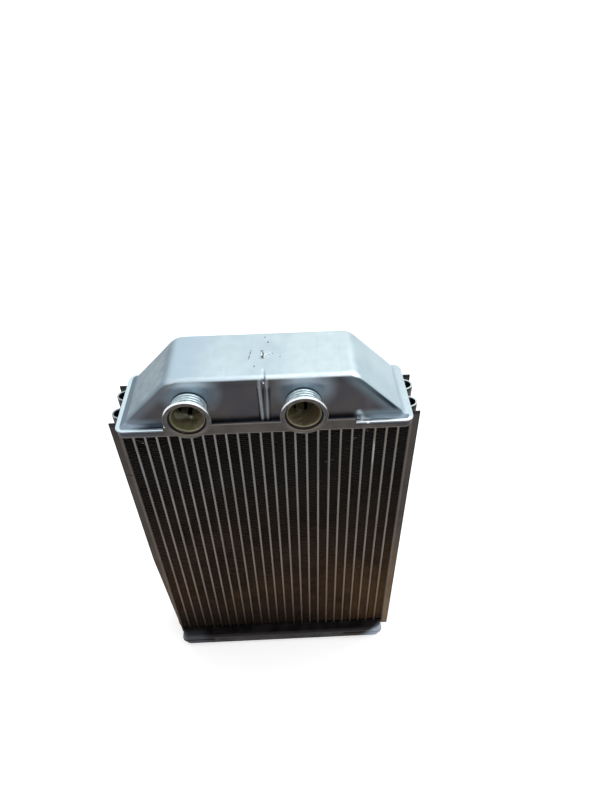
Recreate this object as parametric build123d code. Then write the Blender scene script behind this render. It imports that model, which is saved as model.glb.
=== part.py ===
"""Heater core of a vehicle: flat tubes and corrugated fins brazed between two headers.

Millimetres, +Z up. The origin is the centre of the lower tank's flat bottom. The two necks point
along -Y, and the tubes stand in one row along X.
"""
import os
from math import hypot, radians, tan

from build123d import *

# Flat tubes, one row along X
tube_count = 24
tube_pitch = 6.0
tube_thickness = 1.4
tube_depth = 30.4
tube_wall = 0.3
tube_nose = 0.4  # bevel that rounds a tube's front and rear
tube_reach = 2.5  # how far a tube end stands inside its tank
braze_gap = 0.03  # film between brazed faces

# Corrugated fins between the tubes
fin_setback = 0.5  # from a tube's nose to the strip's edge
fin_gauge = 0.35
fin_folds = 14  # straight walls from end to end of a strip
fin_end_gap = 1.5  # from a strip's end to the header plate

# Core between the outer faces of the two header plates
core_height = 209.0

# Headers, two equal stamped trays
header_gauge = 1.4
header_wall = 1.2
header_depth = 4.5  # from the plate's outer face to the rim
header_margin = 6.9  # from a tube's nose to the header's long face
header_edge_bevel = 1.2
header_corner_radius = 3.8
corner_bevel = 2.6  # inside the corners of a tray or pan
web_clearance = 0.1  # from the header's end to the side plate
tab_length = 95.6  # folded lip along each long side
tab_centre = -2.4
tab_rise = 1.8  # over the foot of the tank

# Foot flange that both tanks carry
foot_gauge = 1.4
foot_overhang = 0.6  # past the header's wall

# Lower tank, a shallow pan
pan_height = 8.2  # from the base to the lower rim
pan_gauge = 1.4
pan_side_inset = header_wall  # from the header's long face to the pan's
pan_end_inset = 0.4
pan_corner_radius = 4.2
pan_bottom_bevel = 1.0

# Upper tank, a deep stamping with sloping shoulders
tank_gauge = 1.5
tank_height = 28.0  # over the upper rim
tank_end_height = 5.3  # upright end wall under the shoulder
shoulder_angle = 45.0
foot_land_end = 6.5  # from the foot's end to the tank's end wall
foot_land_side = 3.3
tank_lean = 0.4  # how far a long wall leans in over its height
tank_edge_radius = 3.5
hollow_bevel = 1.4  # along the edges inside the tank
tank_foot_bevel = 1.2  # where the walls turn out into the foot
rib_spacing = 3.8  # two upright ribs in front and two behind
rib_width = 2.6
rib_rise = 1.2  # in front of the tank's wall
rib_top_gap = 1.6  # from the ribs' upper end to the tank's top

# Baffle that parts the inlet side from the outlet side
baffle_gauge = 1.5
baffle_tab_length = 6.6  # staked through the tank's top
baffle_tab_centre = 1.2

# Necks
inlet_x = -36.0
outlet_x = 19.5
neck_axis_height = 13.5  # over the upper rim
neck_bore_radius = 7.7
neck_outer_radius = 8.8
neck_reach = 10.7  # from the tank's front to the lip
neck_flange_radius = 11.6
neck_flange_gauge = 1.3
neck_flare_length = 2.6
neck_inside = 1.0  # stub inside the tank
mouth_radius = 9.3  # countersunk seat for the pipe's seal
mouth_depth = 1.6

# Side plates, beaded channels that close the fin pack
plate_gauge = 0.9
plate_setback = 0.05  # from a tube's nose to the plate's long face
plate_flange = 4.9  # from the web's inner face to the flange's edge
plate_end_gap = 0.1
bead_radius = 3.0
bead_centre = 6.9
trim_start = 105.0  # over the base; below it the left plate's front flange narrows
trim_width = 4.2

# Heights worked out from the sizes
lower_rim = pan_height
lower_plate = lower_rim + header_depth
upper_plate = lower_plate + core_height
upper_rim = upper_plate + header_depth

# Widths and depths worked out from the sizes
fin_height = tube_pitch - tube_thickness
fin_depth = tube_depth - 2 * fin_setback
plate_depth = tube_depth - 2 * plate_setback
header_half_depth = tube_depth / 2 + header_margin
pan_half_depth = header_half_depth - pan_side_inset
web_inner = (tube_count + 1) / 2 * tube_pitch - tube_thickness / 2
header_half_length = web_inner - web_clearance
inner_half_length = header_half_length - header_wall
inner_half_depth = header_half_depth - header_wall
foot_half_length = header_half_length + foot_overhang
foot_half_depth = header_half_depth + foot_overhang
shoulder_run = (tank_height - tank_end_height) / tan(radians(shoulder_angle))
tank_half_length = foot_half_length - foot_land_end
tank_half_depth_base = foot_half_depth - foot_land_side
tank_half_depth_top = tank_half_depth_base - tank_lean
on_floor = (Align.CENTER, Align.CENTER, Align.MIN)


def slab(half_length, half_depth, radius, low, high):
    """Block with rounded upright corners, from height low to height high."""
    outline = RectangleRounded(2 * half_length, 2 * half_depth, radius)
    return Pos(0, 0, low) * extrude(outline, high - low)


def hollow(half_length, half_depth, low, high):
    """Inside of a tray or pan, with bevelled upright corners."""
    outline = Rectangle(2 * half_length, 2 * half_depth)
    return Pos(0, 0, low) * extrude(chamfer(outline.vertices(), corner_bevel), high - low)


def tube_places():
    """X of every tube, left to right."""
    return [(i - (tube_count - 1) / 2) * tube_pitch for i in range(tube_count)]


def fin_places():
    """X of every fin strip: one beside each tube and one more at the right."""
    return [(i - tube_count / 2) * tube_pitch for i in range(tube_count + 1)]


def flat_tube():
    """Flat tube, open at both ends."""
    outline = Rectangle(tube_thickness, tube_depth)
    passage = Rectangle(tube_thickness - 2 * tube_wall, tube_depth - 2 * tube_nose)
    section = chamfer(outline.vertices(), tube_nose) - passage
    reach = header_gauge + tube_reach
    return Pos(0, 0, lower_plate - reach) * extrude(section, core_height + 2 * reach)


def fin_strip():
    """Folded strip whose bends meet the tubes to its left and right."""
    low = lower_plate + fin_end_gap
    step = (core_height - 2 * fin_end_gap) / fin_folds
    width = fin_gauge * hypot(step, fin_height) / step
    swing = fin_height / 2 - braze_gap - width / 2
    middle = [(swing if i % 2 else -swing, low + i * step) for i in range(fin_folds + 1)]
    right = [(x + width / 2, z) for x, z in middle]
    left = [(x - width / 2, z) for x, z in reversed(middle)]
    outline = make_face(Polyline(*right, *left, close=True))
    return extrude(Plane.XZ * outline, fin_depth / 2, both=True)


def header():
    """Stamped tray with its plate at height 0, its rim above, two tabs and the tube slots."""
    tray = slab(header_half_length, header_half_depth, header_corner_radius, 0, header_depth)
    tray = chamfer(tray.faces().sort_by(Axis.Z)[0].edges(), header_edge_bevel)
    tray -= hollow(inner_half_length, inner_half_depth, header_gauge, header_depth)
    tab = Box(tab_length, header_wall, foot_gauge + tab_rise, align=on_floor)
    wall_y = header_half_depth - header_wall / 2
    tray += [Pos(tab_centre, side * wall_y, header_depth) * tab for side in (-1, 1)]
    slot = Box(tube_thickness + 2 * braze_gap, tube_depth + 2 * braze_gap, header_gauge, align=on_floor)
    return tray - [Pos(x, 0, 0) * slot for x in tube_places()]


def foot():
    """Foot flange with its rim side at height 0, cut back where the header's tabs stand."""
    radius = header_corner_radius + foot_overhang
    flange = slab(foot_half_length, foot_half_depth, radius, 0, foot_gauge)
    return flange - tab_room()


def tab_room():
    """Blocks that clear the header's tabs, in front and behind."""
    depth = header_wall + foot_overhang + 2 * braze_gap
    block = Box(tab_length + 2 * braze_gap, depth, foot_gauge + tab_rise, align=on_floor)
    centre_y = inner_half_depth - braze_gap + depth / 2
    return [Pos(tab_centre, side * centre_y, 0) * block for side in (-1, 1)]


def tank_block(inset):
    """Body of the upper tank over the rim, or with an inset its hollow."""
    shoulder = inset * tan(radians(shoulder_angle / 2))
    top = tank_height - inset
    half_top = tank_half_length - shoulder_run - shoulder
    half_end = tank_half_length - inset
    right = [(half_end, 0), (half_end, tank_end_height - shoulder), (half_top, top)]
    left = [(-x, z) for x, z in reversed(right)]
    front = make_face(Polyline(*right, *left, close=True))
    base = tank_half_depth_base - inset
    crown = tank_half_depth_top - inset
    side = make_face(Polyline((-base, 0), (base, 0), (crown, top), (-crown, top), close=True))
    block = extrude(Plane.XZ * front, foot_half_depth, both=True)
    block &= extrude(Plane.YZ * side, foot_half_length, both=True)
    edges = block.edges().filter_by(Axis.Y, reverse=True)
    edges = edges.filter_by(lambda edge: edge.center().Z > braze_gap)
    return chamfer(edges, hollow_bevel) if inset else fillet(edges, tank_edge_radius)


def ribs():
    """Upright pressed ribs, two in front and two behind, that grip the baffle."""
    height = tank_height - rib_top_gap
    depth = 2 * (tank_half_depth_base + rib_rise)
    bar = Pos(0, 0, height / 2) * Box(rib_width, depth, height)
    bar = chamfer(bar.edges().filter_by(Axis.Z), rib_width / 3)
    return [Pos(side * rib_spacing / 2, 0, 0) * bar for side in (-1, 1)]


def upper_tank():
    """Stamped shell on its foot, with the ribs, two neck holes and the baffle's slot."""
    body = tank_block(0) + foot()
    body = chamfer(body.edges().filter_by(on_tank_foot), tank_foot_bevel)
    body += ribs()
    body -= tank_block(tank_gauge)
    for x in (inlet_x, outlet_x):
        hole = Cylinder(neck_outer_radius + braze_gap, tank_half_depth_base, rotation=(90, 0, 0))
        body -= Pos(x, -tank_half_depth_base, neck_axis_height) * hole
    slot = Box(baffle_gauge + 2 * braze_gap, baffle_tab_length + 2 * braze_gap, 4 * tank_gauge)
    body -= Pos(0, baffle_tab_centre, tank_height) * slot
    return Pos(0, 0, upper_rim) * body


def on_tank_foot(edge):
    """True for an edge where the tank's wall meets the top of its foot."""
    centre = edge @ 0.5
    return (
        abs(centre.Z - foot_gauge) < braze_gap
        and abs(centre.X) < tank_half_length + braze_gap
        and abs(centre.Y) < tank_half_depth_base + braze_gap
    )


def baffle():
    """Plate across the upper tank, wide in the header, with a tab through the tank's top."""
    low = header_gauge - header_depth
    clear = tank_gauge + braze_gap
    wide = inner_half_depth - braze_gap
    narrow = tank_half_depth_top - clear
    head = Box(baffle_gauge, 2 * wide, -low, align=on_floor)
    body = Box(baffle_gauge, 2 * narrow, tank_height - clear - low, align=on_floor)
    body = chamfer(body.edges().filter_by(Axis.X).group_by(Axis.Z)[-1], hollow_bevel)
    tab = Box(baffle_gauge, baffle_tab_length, tank_height - low, align=on_floor)
    return Pos(0, 0, upper_rim + low) * (head + body + Pos(0, baffle_tab_centre, 0) * tab)


def neck():
    """Turned neck along -Y with a flared flange, the tank's front face at Y = 0."""
    inner_end = tank_gauge + neck_inside
    flange_back = neck_reach - neck_flange_gauge
    outline = [
        (neck_bore_radius, inner_end),
        (neck_outer_radius, inner_end),
        (neck_outer_radius, neck_flare_length - flange_back),
        (neck_flange_radius, -flange_back),
        (neck_flange_radius, -neck_reach),
        (mouth_radius, -neck_reach),
        (neck_bore_radius, mouth_depth - neck_reach),
    ]
    return revolve(make_face(Polyline(*outline, close=True)), Axis.Y)


def neck_front_y():
    """Y of the tank's front wall at the height of the necks."""
    return tank_lean * neck_axis_height / tank_height - tank_half_depth_base


def side_plate():
    """Right side plate: a channel, open outwards, with two half-round beads along its web."""
    web_outer = web_inner + plate_gauge
    channel = Pos(web_inner + plate_flange / 2, 0) * Rectangle(plate_flange, plate_depth)
    inside = Rectangle(2 * plate_flange, plate_depth - 2 * plate_gauge)
    profile = channel - Pos(web_outer + plate_flange, 0) * inside
    for y in (-bead_centre, bead_centre):
        profile += Pos(web_outer, y) * Circle(bead_radius + plate_gauge)
    profile &= channel
    for y in (-bead_centre, bead_centre):
        profile -= Pos(web_outer, y) * Circle(bead_radius)
    low = lower_rim + plate_end_gap
    high = upper_rim - plate_end_gap
    return Pos(0, 0, low) * extrude(profile, high - low)


def left_side_plate():
    """Left side plate, its front flange narrowing towards the lower end."""
    plate = mirror(side_plate(), Plane.YZ)
    edge = -(web_inner + plate_flange)
    wedge = make_face(Polyline((edge - 1, trim_start), (edge, trim_start), (edge + trim_width, lower_rim),
                               (edge - 1, lower_rim), close=True))
    cut = Pos(0, -plate_depth / 2 + plate_gauge, 0) * extrude(Plane.XZ * wedge, 2 * plate_gauge)
    return plate - cut


def lower_tank():
    """Shallow pan under the lower header, open upwards, with its foot at the rim."""
    half_length = header_half_length - pan_end_inset
    pan = slab(half_length, pan_half_depth, pan_corner_radius, 0, pan_height)
    pan = chamfer(pan.faces().sort_by(Axis.Z)[0].edges(), pan_bottom_bevel)
    pan += Pos(0, 0, pan_height) * mirror(foot(), Plane.XY)
    return pan - hollow(half_length - pan_gauge, pan_half_depth - pan_gauge, pan_gauge, pan_height)


def write(name, shape):
    """One STEP file for each piece, under its own name."""
    shape.label = name
    export_step(shape, f"parts/{name}.step")


def main():
    """Builds every piece in place and writes it."""
    os.makedirs("parts", exist_ok=True)
    tray = header()
    write("upper_header", Pos(0, 0, upper_plate) * tray)
    write("lower_header", Pos(0, 0, lower_plate) * mirror(tray, Plane.XY))
    write("upper_tank", upper_tank())
    write("lower_tank", lower_tank())
    write("baffle", baffle())
    turned_neck = neck()
    for name, x in (("inlet_neck", inlet_x), ("outlet_neck", outlet_x)):
        write(name, Pos(x, neck_front_y(), upper_rim + neck_axis_height) * turned_neck)
    write("side_plate_right", side_plate())
    write("side_plate_left", left_side_plate())
    tube = flat_tube()
    for number, x in enumerate(tube_places(), start=1):
        write(f"tube_{number:02d}", Pos(x, 0, 0) * tube)
    strip = fin_strip()
    for number, x in enumerate(fin_places(), start=1):
        write(f"fin_{number:02d}", Pos(x, 0, 0) * strip)


main()
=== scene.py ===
"""Looks of the heater core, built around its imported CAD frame.

Shapes are worked out in millimetres in the frame's axes and written to the meshes in metres.
"""

from math import cos, pi, radians, sin, tan

import bmesh
import bpy
from mathutils import Matrix, Vector, noise


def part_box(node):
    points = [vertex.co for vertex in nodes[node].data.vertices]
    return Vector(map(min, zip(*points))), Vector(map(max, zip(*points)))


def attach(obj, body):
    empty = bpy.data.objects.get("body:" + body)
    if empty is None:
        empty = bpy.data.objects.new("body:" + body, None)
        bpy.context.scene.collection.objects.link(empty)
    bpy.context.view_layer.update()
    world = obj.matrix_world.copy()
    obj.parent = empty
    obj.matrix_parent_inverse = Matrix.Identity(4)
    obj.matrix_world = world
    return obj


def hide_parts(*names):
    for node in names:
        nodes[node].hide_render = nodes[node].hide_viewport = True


MM = 0.001

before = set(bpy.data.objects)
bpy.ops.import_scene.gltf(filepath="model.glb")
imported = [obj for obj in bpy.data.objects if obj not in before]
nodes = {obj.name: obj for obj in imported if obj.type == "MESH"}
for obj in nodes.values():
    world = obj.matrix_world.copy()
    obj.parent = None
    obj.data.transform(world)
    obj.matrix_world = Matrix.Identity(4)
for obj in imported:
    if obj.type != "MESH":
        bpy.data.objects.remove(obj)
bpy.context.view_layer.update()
scene = bpy.context.scene


def box_mm(node):
    """Lowest and highest corner of a CAD node, in millimetres."""
    low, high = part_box(node)
    return low / MM, high / MM


# Sizes read from the frame
tank_low, tank_high = box_mm("upper_tank")
header_low, header_high = box_mm("upper_header")
lower_header_high = box_mm("lower_header")[1]
pan_high = box_mm("lower_tank")[1]
plate_low, plate_high = box_mm("side_plate_right")
left_neck_low, left_neck_high = box_mm("inlet_neck")
right_neck_low, right_neck_high = box_mm("outlet_neck")
tube_boxes = [box_mm(f"tube_{number:02d}") for number in range(1, 25)]
fin_boxes = [box_mm(f"fin_{number:02d}") for number in range(1, 26)]

rim_z = tank_low.z
top_z = tank_high.z
foot_half_x = tank_high.x
foot_half_y = tank_high.y
header_half_x = header_high.x
header_half_y = header_high.y
neck_x = [(left_neck_low.x + left_neck_high.x) / 2, (right_neck_low.x + right_neck_high.x) / 2]
neck_z = (left_neck_low.z + left_neck_high.z) / 2
neck_mouth_y = left_neck_low.y
neck_inner_y = left_neck_high.y
flange_radius = (left_neck_high.x - left_neck_low.x) / 2

# Sizes that the frame's boxes don't give
foot_gauge = 1.4
foot_top_z = rim_z + foot_gauge
wall_gauge = 1.5
end_half_x = 70.0
kink_half_x = 68.9
kink_z = top_z - 23.3
top_half_x = 45.6
front_half_y = 19.4
top_front_y = 19.0
rear_half_y = 20.0
tab_from_x = -50.2
tab_to_x = 45.4
tab_room_y = 20.87
header_wall = 1.2
header_gauge = 1.4
header_depth = rim_z - header_low.z
header_corner = 3.8
tab_top = header_high.z - header_low.z
neck_outer_radius = 8.8
neck_bore_radius = 7.7
neck_front_y = -19.21
plate_gauge = 0.9
bead_y = 6.9
bead_radius = 3.45
trim_start_z = 105.0
trim_width = 4.2


def arc_corner(before, corner, after, radius, steps=8):
    """Points of an arc that rounds a corner of a polyline in a plane."""
    a = (Vector(before) - Vector(corner)).normalized()
    b = (Vector(after) - Vector(corner)).normalized()
    half = a.angle(b) / 2
    reach = radius / tan(half)
    centre = Vector(corner) + (a + b).normalized() * (radius / sin(half))
    start = Vector(corner) + a * reach - centre
    end = Vector(corner) + b * reach - centre
    turn = start.angle(end)
    return [centre + (start * sin((1 - i / steps) * turn) + end * sin(i / steps * turn)) / sin(turn)
            for i in range(steps + 1)]


def rounded_path(points, radii, steps=8):
    """Polyline whose inner corners are rounded, one radius for each."""
    path = [Vector(points[0])]
    for i, radius in enumerate(radii, start=1):
        path += arc_corner(points[i - 1], points[i], points[i + 1], radius, steps)
    path.append(Vector(points[-1]))
    return path


def half_at(path, z):
    """Half-width of a profile at a height, where the profile rises all the way."""
    for low, high in zip(path, path[1:]):
        if low.y <= z <= high.y and high.y > low.y:
            return low.x + (high.x - low.x) * (z - low.y) / (high.y - low.y)
    return path[-1].x if z > path[-1].y else path[0].x


def ring(half_x, front_y, rear_y, radii, z, columns, rows=26, corner_steps=7):
    """Points of a level rounded rectangle, front left to front right and round.

    radii: front right, rear right, rear left, front left. columns: shares of the long sides.
    """
    room = min(half_x, front_y, rear_y) - 0.01
    fr, rr, rl, fl = (max(0.01, min(radius, room)) for radius in radii)
    points = []

    def along(start, end, shares):
        points.extend((start[0] + (end[0] - start[0]) * t, start[1] + (end[1] - start[1]) * t, z) for t in shares)

    def corner(x, y, radius, start):
        for i in range(1, corner_steps):
            angle = start + pi / 2 * i / corner_steps
            points.append((x + radius * cos(angle), y + radius * sin(angle), z))

    steps = [i / rows for i in range(rows + 1)]
    along((fl - half_x, -front_y), (half_x - fr, -front_y), columns)
    corner(half_x - fr, fr - front_y, fr, -pi / 2)
    along((half_x, fr - front_y), (half_x, rear_y - rr), steps)
    corner(half_x - rr, rear_y - rr, rr, 0)
    along((half_x - rr, rear_y), (rl - half_x, rear_y), [1 - t for t in reversed(columns)])
    corner(rl - half_x, rear_y - rl, rl, pi / 2)
    along((-half_x, rear_y - rl), (-half_x, fl - front_y), steps)
    corner(fl - half_x, fl - front_y, fl, pi)
    return points


def skin(rings):
    """Faces between rings of equal length, each ring closed."""
    count = len(rings[0])
    faces = []
    for level in range(len(rings) - 1):
        low, high = level * count, (level + 1) * count
        for i in range(count):
            j = (i + 1) % count
            faces.append((low + i, low + j, high + j, high + i))
    return faces


def closed_skin(rings):
    """Points and faces of rings joined in turn, with the first and last ring filled."""
    count = len(rings[0])
    last = (len(rings) - 1) * count
    faces = skin(rings) + [tuple(range(count)), tuple(range(last, last + count))]
    return [point for loop in rings for point in loop], faces


def new_object(name, points, faces, sharp=38):
    """Object from points in millimetres, riding on the one body."""
    mesh = bpy.data.meshes.new(name)
    mesh.from_pydata([Vector(p) * MM for p in points], [], faces)
    shape = bmesh.new()
    shape.from_mesh(mesh)
    bmesh.ops.remove_doubles(shape, verts=shape.verts, dist=1e-7)
    bmesh.ops.recalc_face_normals(shape, faces=shape.faces)
    shape.to_mesh(mesh)
    shape.free()
    mesh.shade_smooth()
    mesh.set_sharp_from_angle(angle=radians(sharp))
    piece = bpy.data.objects.new(name, mesh)
    scene.collection.objects.link(piece)
    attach(piece, "root")
    return piece


def cut(piece, cutters, sharp=38):
    """Cuts closed solids out of a piece and applies the result."""
    for cutter in cutters:
        modifier = piece.modifiers.new("cut", "BOOLEAN")
        modifier.operation = "DIFFERENCE"
        modifier.solver = "EXACT"
        modifier.object = cutter
    graph = bpy.context.evaluated_depsgraph_get()
    mesh = bpy.data.meshes.new_from_object(piece.evaluated_get(graph))
    piece.modifiers.clear()
    old = piece.data
    piece.data = mesh
    bpy.data.meshes.remove(old)
    for cutter in cutters:
        bpy.data.objects.remove(cutter)
    mesh.shade_smooth()
    mesh.set_sharp_from_angle(angle=radians(sharp))


def cylinder_along_y(x, z, radius, y_from, y_to, segments=96):
    """Closed cutter for a round hole along Y."""
    points = []
    for y in (y_from, y_to):
        for i in range(segments):
            angle = 2 * pi * i / segments
            points.append((x + radius * cos(angle), y, z + radius * sin(angle)))
    faces = [(i, (i + 1) % segments, segments + (i + 1) % segments, segments + i) for i in range(segments)]
    faces += [tuple(range(segments)), tuple(range(segments, 2 * segments))]
    return new_object("cutter", points, faces)


def blocks(name, boxes):
    """Closed boxes, each from corner to corner, in one object."""
    points, faces = [], []
    for low, high in boxes:
        start = len(points)
        xs, ys, zs = zip(low, high)
        points += [(x, y, z) for x in xs for y in ys for z in zs]
        for face in ((0, 1, 3, 2), (4, 5, 7, 6), (0, 1, 5, 4), (2, 3, 7, 6), (0, 2, 6, 4), (1, 3, 7, 5)):
            faces.append(tuple(start + i for i in face))
    return new_object(name, points, faces)


def swap(piece, node):
    """Lets a detailed piece stand for its CAD node."""
    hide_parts(node)
    return piece


def bump_curve(distance, width):
    """Smooth bump from 1 in the middle to 0 at half its width."""
    return 0.5 + 0.5 * cos(pi * min(1.0, abs(distance) / (width / 2)))


def blend(value, low, high):
    """Smooth step from 0 at low to 1 at high."""
    t = max(0.0, min(1.0, (value - low) / (high - low)))
    return t * t * (3 - 2 * t)


# Upper tank
rib_top_z = top_z - 1.6
rib_rise = 1.15


def rib_height(x, z, behind):
    """How far the double rib stands out of the tank's long wall."""
    climb = (z - foot_top_z) / (rib_top_z - foot_top_z)
    left, valley, right = (-2.1 - 0.5 * climb, 0.5 + 0.5 * climb, 3.0 + 0.5 * climb)
    if behind:
        left, valley, right = -3.1, -0.1, 2.9
    top = rib_top_z + (1.3 if behind else -1.8)
    fade = 1 - blend(z, top - 1.8, top + 0.6)
    if x < valley:
        height = 1.05 * blend(x, left - 0.6, left + 1.0)
    else:
        height = (0.75 + 0.25 * climb) * (1 - blend(x, right - 1.2, right + 0.7))
    trough = bump_curve(x - valley, 2.3 if x < valley else 2.9) * (0.5 + 0.5 * climb)
    return rib_rise * height * (1 - 0.85 * trough) * fade


def tank_profiles(inset):
    """Profiles of the tank's ends, front and rear, from the foot to the top."""
    if inset:
        shoulder = inset * tan(radians(22.5))
        end = [(68.3 - inset, rim_z), (68.3 - inset, rim_z + 5.3 - shoulder), (top_half_x - shoulder, top_z - inset),
               (0, top_z - inset)]
        side = [(front_half_y - inset, rim_z), (top_front_y - inset, top_z - inset), (0, top_z - inset)]
        side = rounded_path(side, [2.0])
        return rounded_path(end, [1.6, 3.5]), side, side
    end = [(foot_half_x, foot_top_z), (end_half_x, foot_top_z), (kink_half_x, kink_z), (top_half_x, top_z),
           (0, top_z)]
    front = [(foot_half_y, foot_top_z), (front_half_y, foot_top_z), (top_front_y, top_z), (0, top_z)]
    rear = [(foot_half_y, foot_top_z), (rear_half_y, foot_top_z), (rear_half_y - 0.01, top_z), (0, top_z)]
    return rounded_path(end, [3.4, 4.0, 9.0], 12), rounded_path(front, [1.7, 4.5], 12), rounded_path(rear, [1.2, 1.4])


def long_columns(edge_radius=4.4, dense=True):
    """Shares along a long side: even, closer at the ribs and at the ends of the tabs."""
    straight = foot_half_x - edge_radius
    shares = [i / 150 for i in range(151)]
    if dense:
        shares += [0.5 + i * 0.0017 for i in range(-34, 35)]
    for x in (tab_from_x - 0.25, tab_from_x, tab_to_x, tab_to_x + 0.25):
        shares += [0.5 + x / straight / 2, 0.5 - x / straight / 2]
    return sorted(set(round(share, 5) for share in shares))


def tank_levels():
    """Heights of the tank's rings over the foot, closer where a profile turns."""
    levels = [foot_top_z + 1.7 * (1 - cos(pi / 2 * i / 6)) for i in range(1, 7)]
    levels += [foot_top_z + share for share in (2.0, 2.5, 3.1, 3.6, 4.2)]
    low, high = foot_top_z + 4.9, top_z - 4.6
    levels += [low + (high - low) * i / 22 for i in range(23)]
    levels += [top_z - 4.6 * (1 - sin(pi / 2 * i / 16)) for i in range(1, 17)]
    return levels


def build_tank():
    """The upper tank: one pressed shell with its foot, ribs, neck holes and staked slot."""
    end, front, rear = tank_profiles(0)
    columns = long_columns()
    rings = []
    for i in range(4):
        back = 0.3 * (1 - sin(pi / 2 * i / 3))
        rings.append(ring(foot_half_x - back, foot_half_y - back, foot_half_y - back, [4.4] * 4,
                          rim_z + 0.3 * (1 - cos(pi / 2 * i / 3)), columns))
    for i in range(5):
        back = 0.5 * (1 - cos(pi / 2 * i / 4))
        rings.append(ring(foot_half_x - back, foot_half_y - back, foot_half_y - back, [4.4 - back] * 4,
                          foot_top_z - 0.5 * (1 - sin(pi / 2 * i / 4)), columns))
    rings.append(ring(foot_half_x - 1.4, foot_half_y - 1.0, foot_half_y - 1.0, [3.9] * 4, foot_top_z, columns))
    rings.append(ring(foot_half_x - 2.4, foot_half_y - 1.5, foot_half_y - 1.5, [3.7, 3.7, 3.7, 4.2],
                      foot_top_z, columns))
    foot_rings = len(rings)
    for z in tank_levels():
        share = blend(z, foot_top_z, foot_top_z + 5)
        radii = [3.4 - 0.6 * share, 3.4 - 0.6 * share, 3.6, 4.0 + 0.4 * share]
        rings.append(ring(half_at(end, z), half_at(front, z), half_at(rear, z), radii, z, columns))
    flat_x, flat_front, flat_rear = (half_at(path, top_z - 1e-6) for path in (end, front, rear))
    for share in (0.96, 0.88, 0.75, 0.6, 0.4, 0.2, 0.02):
        rings.append(ring(flat_x - flat_front * (1 - share), flat_front * share, flat_rear * share,
                          [2.8 * share, 2.8 * share, 3.6 * share, 4.4 * share], top_z, columns))
    outer_count = len(rings)
    end, front, rear = tank_profiles(wall_gauge)
    inner_levels = [rim_z + (top_z - wall_gauge - rim_z) * sin(pi / 2 * i / 14) for i in range(15)]
    inner = []
    for z in inner_levels:
        half_y = half_at(front, z - 1e-6)
        inner.append(ring(half_at(end, z - 1e-6), half_y, half_y, [2.2] * 4, z, columns))
    half_x, half_y = half_at(end, inner_levels[-1] - 1e-6), half_at(front, inner_levels[-1] - 1e-6)
    for share in (0.7, 0.02):
        inner.append(ring(half_x - 15 * (1 - share), half_y * share, half_y * share, [2.0 * share] * 4,
                          inner_levels[-1], columns))
    points = []
    for level, loop in enumerate(rings):
        for x, y, z in loop:
            if level < foot_rings and tab_from_x < x < tab_to_x and abs(y) > tab_room_y:
                y = tab_room_y if y > 0 else -tab_room_y
            side = 1 if y > 0 else -1
            if level >= foot_rings - 1 and abs(x) < 8 and abs(y) > 12:
                notch = bump_curve(x - 0.8, 2.6) * blend(z, rib_top_z - 1.6, rib_top_z) * (side < 0)
                y += side * (rib_height(x, z, y > 0) - 0.7 * notch)
                z -= 0.35 * notch
            if level >= foot_rings:
                rise = min(1.0, (z - foot_top_z) / 6)
                wave = noise.noise(Vector((x, y, z)) * 0.05) * 0.2 + noise.noise(Vector((x, y, z)) * 0.22) * 0.05
                z += min(0.0, wave - 0.12) * rise
                if level >= foot_rings + 4:
                    y -= side * wave * 0.6 * min(1.0, abs(y) / 15)
            points.append((x, y, z))
    faces = skin(rings)
    count = len(rings[0])
    inner_start = len(points)
    for loop in inner:
        points.extend(loop)
    faces += [tuple(inner_start + i for i in face) for face in skin(inner)]
    for i in range(count):
        j = (i + 1) % count
        faces.append((i, j, inner_start + j, inner_start + i))
    for start in ((outer_count - 1) * count, inner_start + (len(inner) - 1) * count):
        faces.append(tuple(start + i for i in range(count)))
    tank = new_object("tank_shell", points, faces, sharp=40)
    cutters = [cylinder_along_y(x, neck_z, neck_outer_radius + 0.04, -34, -12) for x in neck_x]
    cutters.append(blocks("cutter", [((-0.8, 1.2 - 3.35, top_z - 4), (0.8, 1.2 + 3.35, top_z + 2))]))
    cut(tank, cutters, sharp=40)
    return swap(tank, "upper_tank")


def build_baffle():
    """Plate across the tank, its tab staked over with a rounded crown."""
    wide, narrow, low = 20.87, 17.47, header_low.z + header_gauge
    clear = wall_gauge + 0.03
    tab_low, tab_high = 1.2 - 3.3, 1.2 + 3.3
    outline = [(-wide, low), (wide, low), (wide, rim_z), (narrow, rim_z), (narrow, top_z - clear - 1.4),
               (narrow - 1.4, top_z - clear), (tab_high, top_z - clear), (tab_high, top_z - 0.5),
               (tab_high - 0.4, top_z - 0.16), (tab_low + 0.4, top_z - 0.16), (tab_low, top_z - 0.5),
               (tab_low, top_z - clear), (1.4 - narrow, top_z - clear), (-narrow, top_z - clear - 1.4),
               (-narrow, rim_z), (-wide, rim_z)]
    count = len(outline)
    points = [(x, y, z) for x in (-0.75, 0.75) for y, z in outline]
    faces = [(i, (i + 1) % count, count + (i + 1) % count, count + i) for i in range(count)]
    faces += [tuple(range(count)), tuple(range(count, 2 * count))]
    plate = new_object("baffle_plate", points, faces)
    modifier = plate.modifiers.new("edges", "BEVEL")
    modifier.width = 0.15 * MM
    modifier.segments = 2
    return swap(plate, "baffle")


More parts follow.
